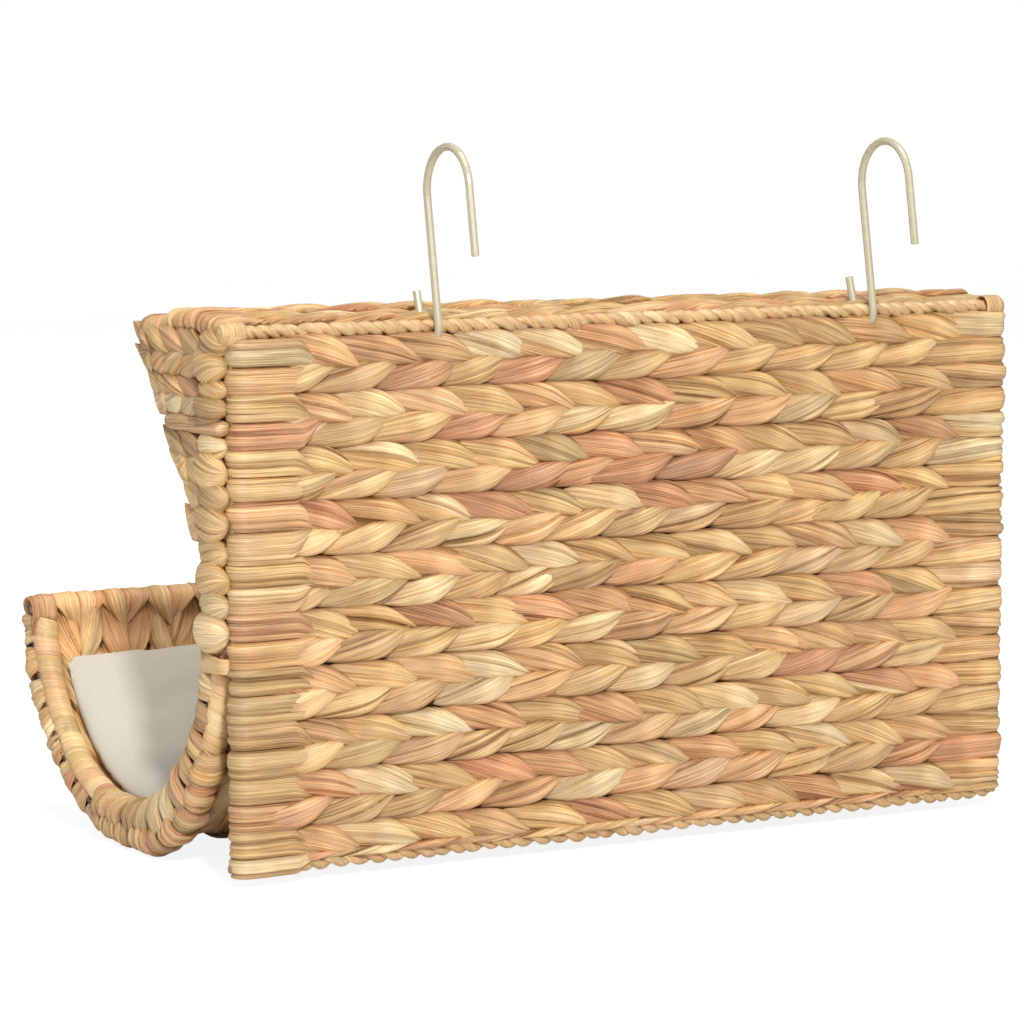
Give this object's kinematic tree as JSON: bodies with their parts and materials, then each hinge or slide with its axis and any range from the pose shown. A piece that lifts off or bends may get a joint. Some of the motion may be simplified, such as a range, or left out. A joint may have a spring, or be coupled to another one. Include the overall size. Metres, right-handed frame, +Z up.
{
  "type": "woven radiator cat bed",
  "caption": "Radiator cat bed: a woven U-shaped sling on a rod frame with a flat back panel, a narrow top shelf, a loose fabric pad and wire hooks that go over a radiator.",
  "frame": {"origin": "centre of the overall box on the surface it stands on, hooks included", "axes": "+X along the bed's length, +Y out of the flat rear panel towards the radiator, +Z up; the open sling faces -Y"},
  "size_m": [0.46, 0.2873, 0.3535],
  "materials": {
    "woven_hyacinth": "dry plant fibre, slightly glossy on the leaf",
    "wound_hyacinth": "fine wound strand, satin",
    "frame_steel": "coated wire, satin",
    "hook_steel": "sand coloured coating, satin",
    "pad_fabric": "finely ribbed cloth, matt"
  },
  "bodies": {
    "bed": {"top_rear_rod": "frame_steel", "bottom_rear_rod": "frame_steel", "rear_post_left": "frame_steel", "rear_post_right": "frame_steel", "top_front_rod": "frame_steel", "lip_rod": "frame_steel", "side_rod_left": "frame_steel", "side_rod_right": "frame_steel", "shelf_rod_left": "frame_steel", "shelf_rod_right": "frame_steel", "rear_panel": "woven_hyacinth", "top_shelf": "woven_hyacinth", "sling": "woven_hyacinth", "gusset_left": "woven_hyacinth", "gusset_right": "woven_hyacinth", "top_rear_rope": "wound_hyacinth", "bottom_rear_rope": "wound_hyacinth", "side_binding_left": "wound_hyacinth", "side_binding_right": "wound_hyacinth", "lashing_left": "wound_hyacinth", "lashing_right": "wound_hyacinth"},
    "hook_left": {"hook_left": "hook_steel"},
    "hook_right": {"hook_right": "hook_steel"},
    "cushion": {"cushion": "pad_fabric"}
  },
  "joints": [
    {"name": "hook_left_swing", "type": "hinge", "parent": "bed", "child": "hook_left", "pos_m": [0.114, 0.09885, 0.263], "axis": [1, 0, 0], "range_deg": [-12, 6]},
    {"name": "hook_right_swing", "type": "hinge", "parent": "bed", "child": "hook_right", "pos_m": [-0.144, 0.09885, 0.263], "axis": [1, 0, 0], "range_deg": [-12, 6]},
    {"name": "cushion_pull_out", "type": "slide", "parent": "bed", "child": "cushion", "axis": [1, 0, 0], "range_m": [0, 0.43]}
  ]
}
